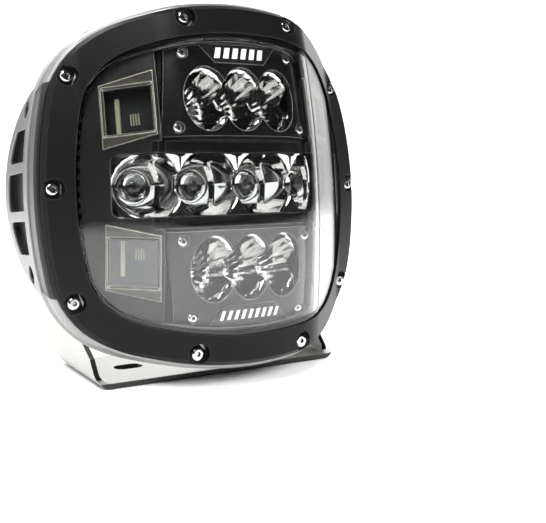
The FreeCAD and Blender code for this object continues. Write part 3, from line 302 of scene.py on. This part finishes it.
def finish(name, colour, roughness, metallic=0.0, tone=0.12, patch=0.02, rough_change=0.08, dust=0.03,
           grain=None, grain_depth=0.3, brush=None, edge=None, edge_colour=None, **plain):
    """An opaque finish: handled surface, optional grain or brushing, optional lighter edges that are
    partly wear and partly painted highlight.
    """
    made = bpy.data.materials.new(name)
    made.use_nodes = True
    tree = made.node_tree
    shader = tree.nodes["Principled BSDF"]
    handled = group(tree, HANDLED, Colour=(*colour, 1), Tone_Change=tone, Patch_Size=patch,
                    Roughness=roughness, Roughness_Change=rough_change, Dust=dust)
    colour_out = handled.outputs["Colour"]
    rough_out = handled.outputs["Roughness"]
    normal = None
    if edge:
        edges = group(tree, EDGES, Radius=edge)
        normal = edges.outputs["Normal"]
        # Lighter edges: partly wear, partly painted highlight.
        if edge_colour:
            colour_out = blend(tree, edges.outputs["Edge"], colour_out, (*edge_colour, 1))
    height = None
    if grain:
        height = group(tree, GRAIN, Grain_Size=grain, Depth=grain_depth).outputs["Height"]
    if brush:
        lines = group(tree, BRUSHING, Across=brush)
        height = lines.outputs["Height"]
        duller = maths(tree, "MULTIPLY", lines.outputs["Lines"], BRUSHED_DULLNESS)
        rough_out = maths(tree, "ADD", rough_out, duller)
    if height:
        bump = node(tree, "ShaderNodeBump", None, Height=height, Distance=0.0001, Strength=0.6)
        if normal:
            tree.links.new(normal, bump.inputs["Normal"])
        normal = bump.outputs[0]
    if normal:
        tree.links.new(normal, shader.inputs["Normal"])
    tree.links.new(colour_out, shader.inputs["Base Color"])
    tree.links.new(rough_out, shader.inputs["Roughness"])
    shader.inputs["Metallic"].default_value = metallic
    for key, value in plain.items():
        shader.inputs[key.replace("_", " ")].default_value = value
    return made


def paint_recess_shade(material, reach):
    """Painted shade in the sockets and grooves of a finish: the colour goes dark where little open sky
    reaches.
    """
    tree = material.node_tree
    shader = tree.nodes["Principled BSDF"]
    colour = shader.inputs["Base Color"].links[0].from_socket
    open_sky = node(tree, "ShaderNodeAmbientOcclusion", {"samples": 6}, Distance=reach).outputs["AO"]
    shade = ramp(tree, open_sky, *OPEN_SKY)
    tree.links.new(blend(tree, shade, RECESS_SHADE_COLOUR, colour), shader.inputs["Base Color"])
    return material


def paint_slot_shade(material):
    """Painted shade in the blind slots of the side skirts: black colour and no metal on their floors and
    walls.
    """
    tree = material.node_tree
    shader = tree.nodes["Principled BSDF"]
    mask = group(tree, SLOT_SHADE).outputs["Mask"]
    colour = shader.inputs["Base Color"].links[0].from_socket
    tree.links.new(blend(tree, mask, colour, SLOT_SHADE_COLOUR), shader.inputs["Base Color"])
    bright = shader.inputs["Metallic"].default_value
    metal = maths(tree, "MULTIPLY", maths(tree, "SUBTRACT", 1.0, mask), bright)
    tree.links.new(metal, shader.inputs["Metallic"])
    return material


def darken_cut_edges(material):
    """Darker tone on the sheared edges of a sheet, which face along Y."""
    tree = material.node_tree
    shader = tree.nodes["Principled BSDF"]
    normal = node(tree, "ShaderNodeTexCoord").outputs["Normal"]
    facing = node(tree, "ShaderNodeSeparateXYZ", None, i0=normal)
    mask = ramp(tree, maths(tree, "ABSOLUTE", facing.outputs["Y"]), *FACING_Y)
    colour = shader.inputs["Base Color"].links[0].from_socket
    tree.links.new(blend(tree, mask, colour, CUT_EDGE), shader.inputs["Base Color"])
    return material


def clear_finish(name, tint, roughness, ior):
    """Clear plastic with faint changes of tone and gloss; light passes it without a shadow."""
    made = bpy.data.materials.new(name)
    made.use_nodes = True
    tree = made.node_tree
    shader = tree.nodes["Principled BSDF"]
    film = group(tree, HANDLED, Colour=(*tint, 1), Tone_Change=0.03, Patch_Size=0.05,
                 Roughness=roughness, Roughness_Change=0.015, Dust=0.0)
    tree.links.new(film.outputs["Colour"], shader.inputs["Base Color"])
    tree.links.new(film.outputs["Roughness"], shader.inputs["Roughness"])
    shader.inputs["Transmission Weight"].default_value = 1.0
    shader.inputs["IOR"].default_value = ior
    open_to_light = node(tree, "ShaderNodeBsdfTransparent", None, Color=(*tint, 1))
    shadow = node(tree, "ShaderNodeLightPath").outputs["Is Shadow Ray"]
    mixed = node(tree, "ShaderNodeMixShader", None, i0=shadow, i1=shader.outputs[0],
                 i2=open_to_light.outputs[0])
    tree.links.new(mixed.outputs[0], tree.nodes["Material Output"].inputs["Surface"])
    return made


def make_metals():
    """Cast, sheet and turned metal."""
    housing = finish("cast housing", (0.30, 0.30, 0.295), 0.40, metallic=0.75, grain=0.0007,
                     grain_depth=0.4, edge=0.0006, edge_colour=(0.62, 0.63, 0.64))
    cover = finish("cover plate", (0.38, 0.39, 0.40), 0.40, metallic=0.75, grain=0.0006, edge=0.0004)
    spreader = finish("spreader", (0.72, 0.72, 0.73), 0.32, metallic=1.0, brush=(4, 900, 900))
    screws = finish("stainless screws", (0.70, 0.70, 0.69), 0.18, metallic=1.0, grain=0.0004,
                    grain_depth=0.2, edge=0.0003)
    bracket = finish("bracket sheet", (0.50, 0.50, 0.48), 0.34, metallic=1.0, brush=(900, 900, 6),
                     edge=0.0005, rough_change=0.1)
    # The housing gets painted shade in its skirt slots.
    return {"cast_housing": paint_slot_shade(housing),
            "cover_plate": cover,
            "spreader_aluminium": spreader,
            # Painted shade in the screws' hex sockets.
            "screw_steel": paint_recess_shade(screws, 0.0016),
            "bracket_steel": darken_cut_edges(bracket)}


def make_black_finishes():
    """Lacquer, plastic and rubber: everything that is black or nearly so."""
    bezel = finish("bezel lacquer", (0.005, 0.005, 0.005), 0.38, grain=0.0012, grain_depth=0.05,
                   edge=0.0006, edge_colour=(0.05, 0.05, 0.05), dust=0.01, Specular_IOR_Level=0.12)
    fascia = finish("fascia", (0.0035, 0.0035, 0.0035), 0.36, grain=0.0012, grain_depth=0.03,
                    edge=0.0008, edge_colour=(0.10, 0.10, 0.095), dust=0.0, Specular_IOR_Level=0.3)
    plate = finish("plate", (0.004, 0.004, 0.004), 0.2, edge=0.0006,
                   edge_colour=(0.42, 0.42, 0.42), dust=0.0)
    badge = finish("badge", (0.01, 0.01, 0.01), 0.12, edge=0.0003, edge_colour=(0.3, 0.3, 0.3),
                   dust=0.0)
    box = finish("window box", (0.005, 0.005, 0.005), 0.4, grain=0.0006, Specular_IOR_Level=0.25)
    return {"bezel_black": bezel,
            "fascia_plastic": fascia,
            "plate_black": plate,
            "badge_grey": badge,
            "box_dark": box,
            "seal_rubber": finish("seal rubber", (0.012, 0.012, 0.012), 0.7, grain=0.0005),
            "module_plastic": finish("module", (0.02, 0.02, 0.022), 0.45, grain=0.0005),
            "gland_plastic": finish("gland nylon", (0.015, 0.015, 0.015), 0.48, grain=0.0005,
                                    edge=0.0004),
            "washer_plastic": finish("friction washer", (0.02, 0.02, 0.02), 0.5, grain=0.0005)}


def make_optics():
    """Lens, mirrors, window frames, light bars, printed marks and boards."""
    phosphor = finish("phosphor", (0.30, 0.24, 0.07), 0.5, grain=0.0003)
    return {"lens_clear": clear_finish("lens", (0.985, 0.99, 0.99), 0.012, 1.45),
            "optic_clear": clear_finish("clear optic", (0.96, 0.98, 0.98), 0.01, 1.5),
            "mark": finish("printed mark", (0.72, 0.72, 0.70), 0.35, dust=0.0),
            "reflector_mirror": finish("mirror coating", (0.74, 0.74, 0.73), 0.06, metallic=1.0,
                                       tone=0.04, dust=0.0, rough_change=0.02),
            "frame_champagne": finish("window frame", (0.030, 0.028, 0.021), 0.28, metallic=0.2,
                                      grain=0.0005, edge=0.0008, edge_colour=(0.95, 0.92, 0.78)),
            "light_white": finish("light bar", (0.20, 0.20, 0.13), 0.25, tone=0.1, patch=0.003),
            # Painted shade in the recesses of the chips and the board.
            "chip_yellow": paint_recess_shade(phosphor, 0.006),
            "board_white": paint_recess_shade(finish("board mask", (0.75, 0.75, 0.72), 0.35), 0.006),
            "board_green": finish("driver board", (0.02, 0.12, 0.05), 0.35)}


FINISHES = {**make_metals(), **make_black_finishes(), **make_optics()}


def dress_model():
    """Give every part of the model its finish."""
    slots = {entry["node"]: entry["material_slot"] for entry in frame["record"]["subparts"]}
    for name, part in frame["nodes"].items():
        chosen = FINISHES[slots[name]]
        part.data.materials.clear()
        part.data.materials.append(chosen)


dress_model()


# ------------------------------------------------------------------ optics inside the face
def front_limit(x, z, depth):
    """Furthest forward a piece may reach under the crowned face, at a depth."""
    x = abs(x)
    if x < SLOPE_START[0]:
        flat = -CROWN_APEX + SHOULDER_FALL * (x / SLOPE_START[0]) ** SHOULDER_POWER + depth
    else:
        flat = SLOPE_START[1] + (x - SLOPE_START[0]) * SLOPE + depth * SLOPE_STRETCH
    return CROWN_AXIS - math.sqrt((CROWN_AXIS - flat) ** 2 - z * z)


def finished_mesh(name, shape):
    """Plain mesh of a finished edit shape."""
    mesh = bpy.data.meshes.new(name)
    shape.to_mesh(mesh)
    shape.free()
    return mesh


def bowl_rings(mouth, throat, back, front, bands):
    """Half width, half height and Y of each ring of a bowl; two wider ones reach past its cell."""
    flare = 0.35
    for band in range(bands + 3):
        spread = min(band / bands, 1.0)
        wider = 1.0 + flare * max(band - bands, 0)
        wide, tall = ((throat + (size / 2.0 - throat) * spread) * wider for size in mouth)
        yield wide, tall, back - (back - front) * spread ** 2, spread


def bowl_mesh(mouth, throat, back, front, cell, facets, bands, twist=0.0, seams=1):
    """Bowl of wedges that opens forward, cut to its cell; a crease every few wedges."""
    made = bmesh.new()
    rings = []
    for wide, tall, y, spread in bowl_rings(mouth, throat, back, front, bands):
        ring = []
        for step in range(facets):
            angle = 2.0 * math.pi * (step + 0.5) / facets + twist * spread
            ring.append(made.verts.new((wide * math.cos(angle), y, tall * math.sin(angle))))
        rings.append(ring)
    for inner, outer in zip(rings, rings[1:]):
        for step in range(facets):
            after = (step + 1) % facets
            face = made.faces.new((inner[step], outer[step], outer[after], inner[after]))
            face.smooth = True
            made.edges.get((inner[step], outer[step])).smooth = step % seams > 0
    for side in SIDES:
        for place, normal in (((side * cell[0], 0, 0), (side, 0, 0)),
                              ((0, 0, side * cell[1]), (0, 0, side))):
            everything = made.verts[:] + made.edges[:] + made.faces[:]
            bmesh.ops.bisect_plane(made, geom=everything, plane_co=place, plane_no=normal,
                                   clear_outer=True)
    return finished_mesh("bowl", made)


def repeat_tree():
    """Geometry tree: copies of a template in a row along X, joined into one mesh."""
    tree = bpy.data.node_groups.new("repeat in a row", "GeometryNodeTree")
    for label, kind in (("Template", "NodeSocketObject"), ("Count", "NodeSocketInt"),
                        ("Pitch", "NodeSocketFloat"), ("Finish", "NodeSocketMaterial")):
        tree.interface.new_socket(label, in_out="INPUT", socket_type=kind)
    tree.interface.new_socket("Geometry", in_out="OUTPUT", socket_type="NodeSocketGeometry")
    given = tree.nodes.new("NodeGroupInput")
    result = tree.nodes.new("NodeGroupOutput")
    last = maths(tree, "SUBTRACT", given.outputs["Count"], 1.0)
    start = maths(tree, "MULTIPLY", maths(tree, "MULTIPLY", last, given.outputs["Pitch"]), -0.5)
    first = node(tree, "ShaderNodeCombineXYZ", None, X=start).outputs[0]
    step = node(tree, "ShaderNodeCombineXYZ", None, X=given.outputs["Pitch"]).outputs[0]
    points = node(tree, "GeometryNodeMeshLine", None, Count=given.outputs["Count"],
                  Start_Location=first, Offset=step)
    template = node(tree, "GeometryNodeObjectInfo", None, Object=given.outputs["Template"])
    copies = node(tree, "GeometryNodeInstanceOnPoints", None, Points=points.outputs[0],
                  Instance=template.outputs["Geometry"])
    real = node(tree, "GeometryNodeRealizeInstances", None, Geometry=copies.outputs[0])
    dressed = node(tree, "GeometryNodeSetMaterial", None, Geometry=real.outputs[0],
                   Material=given.outputs["Finish"])
    tree.links.new(dressed.outputs[0], result.inputs[0])
    return tree


REPEAT = repeat_tree()


def run_tree(name, tree, values):
    """Plain mesh object made by a geometry tree with the given inputs."""
    holder = bpy.data.objects.new(name, bpy.data.meshes.new(name))
    bpy.context.scene.collection.objects.link(holder)
    modifier = holder.modifiers.new("tree", "NODES")
    modifier.node_group = tree
    for item in tree.interface.items_tree:
        if item.item_type == "SOCKET" and item.in_out == "INPUT" and item.name in values:
            modifier[item.identifier] = values[item.name]
    holder.update_tag()
    depsgraph = bpy.context.evaluated_depsgraph_get()
    mesh = bpy.data.meshes.new_from_object(holder.evaluated_get(depsgraph))
    holder.modifiers.clear()
    holder.data = mesh
    return holder


def repeated(name, mesh, count, pitch, material):
    """A row of copies of a mesh, still in millimetres about the origin."""
    template = bpy.data.objects.new(name + "_template", mesh)
    bpy.context.scene.collection.objects.link(template)
    row = run_tree(name, REPEAT, {"Template": template, "Count": count, "Pitch": pitch,
                                  "Finish": material})
    bpy.data.objects.remove(template)
    return row


def thicken(shape, depth):
    """Close an open skin with a copy of itself further back."""
    front = shape.verts[:]
    rim = [edge for edge in shape.edges if len(edge.link_faces) == 1]
    copy = bmesh.ops.duplicate(shape, geom=front + shape.edges[:] + shape.faces[:])
    behind = copy["vert_map"]
    for vertex in front:
        behind[vertex].co.y += depth
    for edge in rim:
        first, second = edge.verts
        shape.faces.new((first, second, behind[second], behind[first]))


def set_in_head(piece, place, thickness=0.0):
    """Move a piece to its place in the lamp and let it ride with the head.

    A thickness is for an open skin: it is held under the face and closed at that thickness.
    """
    shape = bmesh.new()
    shape.from_mesh(piece.data)
    bmesh.ops.remove_doubles(shape, verts=shape.verts, dist=WELD)
    shape.transform(Matrix.Translation(place))
    if thickness:
        for vertex in shape.verts:
            vertex.co.y = max(vertex.co.y, front_limit(vertex.co.x, vertex.co.z, BOWL_DEPTH))
        thicken(shape, thickness)
    bmesh.ops.recalc_face_normals(shape, faces=shape.faces)
    shape.transform(HEAD)
    shape.to_mesh(piece.data)
    shape.free()
    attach(piece, "head")
    return piece


def make_triple_bowls(level, word):
    """Three joined oval mirror bowls, with narrow twisted wedges, behind one plate."""
    mesh = bowl_mesh(TRIPLE_MOUTH, TRIPLE_THROAT_RADIUS, BOWL_BACK, TRIPLE_FRONT,
                     (TRIPLE_PITCH / 2.0, TRIPLE_HALF_HEIGHT), facets=18, bands=12, twist=0.7)
    bank = repeated(word + "_bowls", mesh, 3, TRIPLE_PITCH, FINISHES["reflector_mirror"])
    set_in_head(bank, Vector((0, 0, level * TRIPLE_HEIGHT)), thickness=BOWL_SKIN)
    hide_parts("triple_reflector_" + word)


def make_row_bowls():
    """Four joined round mirror bowls in the middle, each with four creases."""
    mesh = bowl_mesh(ROW_MOUTH, ROW_THROAT_RADIUS, BOWL_BACK, ROW_FRONT,
                     (ROW_PITCH / 2.0, ROW_HALF_HEIGHT), facets=48, bands=14, seams=12)
    row = repeated("row_bowls", mesh, 4, ROW_PITCH, FINISHES["reflector_mirror"])
    set_in_head(row, Vector((0, 0, 0)), thickness=BOWL_SKIN)
    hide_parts("row_reflector")


def ring_mesh(inner, outer, front, back, steps=40, bevel=0.3):
    """Closed ring about the Y axis, in millimetres, with a bevelled front."""
    made = bmesh.new()
    profile = [(inner, back), (inner, front + bevel), (inner + bevel, front),
               (outer - bevel, front), (outer, front + bevel), (outer, back)]
    angles = [2 * math.pi * step / steps for step in range(steps)]
    rings = []
    for radius, y in profile:
        rings.append([made.verts.new((radius * math.cos(angle), y, radius * math.sin(angle)))
                      for angle in angles])
    for this, after in zip(rings, rings[1:] + rings[:1]):
        for step in range(steps):
            onward = (step + 1) % steps
            made.faces.new((this[step], this[onward], after[onward], after[step]))
    return finished_mesh("ring", made)


def make_collars():
    """Bright collars round the four ball lenses."""
    ring = ring_mesh(COLLAR_INNER, COLLAR_OUTER, COLLAR_FRONT, COLLAR_BACK)
    collars = repeated("ball_collars", ring, 4, ROW_PITCH, FINISHES["reflector_mirror"])
    set_in_head(collars, Vector((0, 0, 0)))


def slanted_bar(width, height, lean, depth):
    """Leaning bar about the origin, with its front at y = 0."""
    made = bmesh.new()
    low, high = -height / 2.0, height / 2.0
    corners = [(-width / 2.0 - lean, low), (width / 2.0 - lean, low), (width / 2.0 + lean, high),
               (-width / 2.0 + lean, high)]
    front = [made.verts.new((x, 0.0, z)) for x, z in corners]
    back = [made.verts.new((x, depth, z)) for x, z in corners]
    made.faces.new(front)
    made.faces.new(back[::-1])
    for step in range(4):
        after = (step + 1) % 4
        made.faces.new((front[after], front[step], back[step], back[after]))
    return finished_mesh("bar", made)


def make_marks(level, word):
    """Plain leaning bars printed on one plate, each raised to follow the plate's crown."""
    height, count, pitch, width, tall, lean = MARK_ROWS[word]
    bar = slanted_bar(width, tall, lean, MARK_THICKNESS)
    bars = repeated(word + "_marks", bar, count, pitch, FINISHES["mark"])
    for vertex in bars.data.vertices:
        crown = front_limit(vertex.co.x, level * height + vertex.co.z, PLATE_DEPTH)
        vertex.co.y += crown - MARK_PROUD
    set_in_head(bars, Vector((0, 0, level * height)))


def window_matrix(side, level):
    """From a right-hand window's own axes to the lamp's, mirrored to its corner."""
    start = Vector((SLOPE_START[0], SLOPE_START[1], 0))
    along = Vector((math.cos(SLOPE_ANGLE), math.sin(SLOPE_ANGLE), 0))
    inward = Vector((-math.sin(SLOPE_ANGLE), math.cos(SLOPE_ANGLE), 0))
    centre = start + along * WINDOW_DISTANCE + inward * WINDOW_DEPTH
    axis = Vector((0, CROWN_AXIS, 0))
    lift = math.asin(WINDOW_HEIGHT / (CROWN_AXIS - centre.y))
    raised = Matrix.Translation(axis) @ Matrix.Rotation(-lift, 4, "X") @ Matrix.Translation(-axis)
    placed = Matrix.Translation(centre) @ Matrix.Rotation(SLOPE_ANGLE, 4, "Z")
    return Matrix.Diagonal((side, 1, level, 1)) @ raised @ placed


def make_ribs(level, word):
    """Short bright ribs on the floors of two window boxes."""
    for side, hand in zip(SIDES, ("left", "right")):
        rib = slanted_bar(RIB_WIDTH, RIB_HEIGHT, 0.0, RIB_THICKNESS)
        ribs = repeated("window_ribs_%s_%s" % (word, hand), rib, RIB_COUNT, RIB_PITCH,
                        FINISHES["light_white"])
        ribs.data.transform(Matrix.Translation(RIB_PLACE))
        ribs.data.transform(window_matrix(side, level))
        set_in_head(ribs, Vector((0, 0, 0)))


for level, word in LEVELS:
    make_triple_bowls(level, word)
make_row_bowls()
make_collars()
for level, word in LEVELS:
    make_marks(level, word)
for level, word in LEVELS:
    make_ribs(level, word)


# ------------------------------------------------------------------ studio
def make_sweep():
    """Pale floor that curves up into a backdrop far behind the lamp, in metres."""
    half_width, front, start, radius, top = 6.0, -4.0, 2.6, 1.2, 5.0
    steps = 12
    below_bracket = 0.0005
    profile = [(front, 0.0), (start, 0.0)]
    for step in range(1, steps + 1):
        angle = math.radians(90.0 * step / steps)
        profile.append((start + radius * math.sin(angle), radius * (1 - math.cos(angle))))
    profile.append((start + radius, top))
    turn = Matrix.Rotation(math.radians(-28.0), 4, "Z")
    points = [turn @ Vector((x, y, z - below_bracket)) for y, z in profile
              for x in (-half_width, half_width)]
    faces = [(2 * i, 2 * i + 1, 2 * i + 3, 2 * i + 2) for i in range(len(profile) - 1)]
    mesh = bpy.data.meshes.new("sweep")
    mesh.from_pydata([tuple(p) for p in points], [], faces)
    for face in mesh.polygons:
        face.use_smooth = True
    sweep = bpy.data.objects.new("sweep", mesh)
    bpy.context.scene.collection.objects.link(sweep)
    mesh.materials.append(finish("paper", (0.86, 0.86, 0.86), 0.85, dust=0.0, tone=0.01))


def add_softbox(name, place, target, width, height, watts, mirrored=True):
    """Area light aimed at a point; an unmirrored one doesn't show in glossy or clear surfaces."""
    light = bpy.data.lights.new(name, "AREA")
    light.shape = "RECTANGLE"
    light.size = width
    light.size_y = height
    light.energy = watts
    lamp = bpy.data.objects.new(name, light)
    lamp.location = place
    lamp.rotation_euler = (Vector(target) - Vector(place)).to_track_quat("-Z", "Y").to_euler()
    lamp.visible_camera = False
    lamp.visible_glossy = mirrored
    lamp.visible_transmission = mirrored
    bpy.context.scene.collection.objects.link(lamp)


def light_lamp():
    """Softboxes on the lamp itself, then two wide ones on the floor and the backdrop."""
    middle = (0.0, -0.02, 0.11)
    add_softbox("key", (-1.0, -0.9, 1.7), middle, 0.8, 0.8, 34)
    add_softbox("right bank", (1.40, 0.94, 0.30), middle, 0.30, 1.5, 7)
    add_softbox("left bank", (-1.5, 0.5, 0.6), middle, 0.8, 1.3, 8)
    add_softbox("corner", (-0.5, 0.9, 1.4), middle, 0.5, 0.5, 10)
    add_softbox("top", (0.1, 0.2, 1.8), middle, 1.6, 0.6, 26, mirrored=False)
    add_softbox("floor wash", (0.3, -2.2, 1.6), (0.2, -1.0, 0.0), 2.5, 1.0, 110, mirrored=False)
    add_softbox("backdrop", (0.8, 0.9, 2.6), (1.6, 3.2, 1.0), 3.0, 1.0, 160, mirrored=False)


def make_world():
    """Bright to the eye as a backdrop, dimmer in reflections so that black stays black."""
    seen, reflected = 0.98, 0.02
    world = bpy.data.worlds.new("studio")
    world.use_nodes = True
    bpy.context.scene.world = world
    tree = world.node_tree
    background = tree.nodes["Background"]
    camera_only = node(tree, "ShaderNodeLightPath").outputs["Is Camera Ray"]
    added = maths(tree, "MULTIPLY", camera_only, seen - reflected)
    strength = maths(tree, "ADD", added, reflected)
    tree.links.new(strength, background.inputs["Strength"])
    background.inputs["Color"].default_value = (1, 1, 1, 1)


def make_camera():
    """View from the front left, a little above the middle of the lamp."""
    camera = bpy.data.cameras.new("camera")
    camera.sensor_width = 36.0
    camera.lens = 53.39
    camera.shift_x = 0.1745
    camera.shift_y = -0.1533
    camera.clip_start = 0.01
    holder = bpy.data.objects.new("camera", camera)
    place = Vector((-0.24815, -0.43870, 0.12900))
    forward = Vector((0.46685, 0.88391, -0.02763))
    holder.location = place
    holder.rotation_euler = forward.to_track_quat("-Z", "Y").to_euler()
    bpy.context.scene.collection.objects.link(holder)
    bpy.context.scene.camera = holder


make_sweep()
make_world()
make_camera()
light_lamp()
bpy.context.scene.view_settings.view_transform = "Standard"
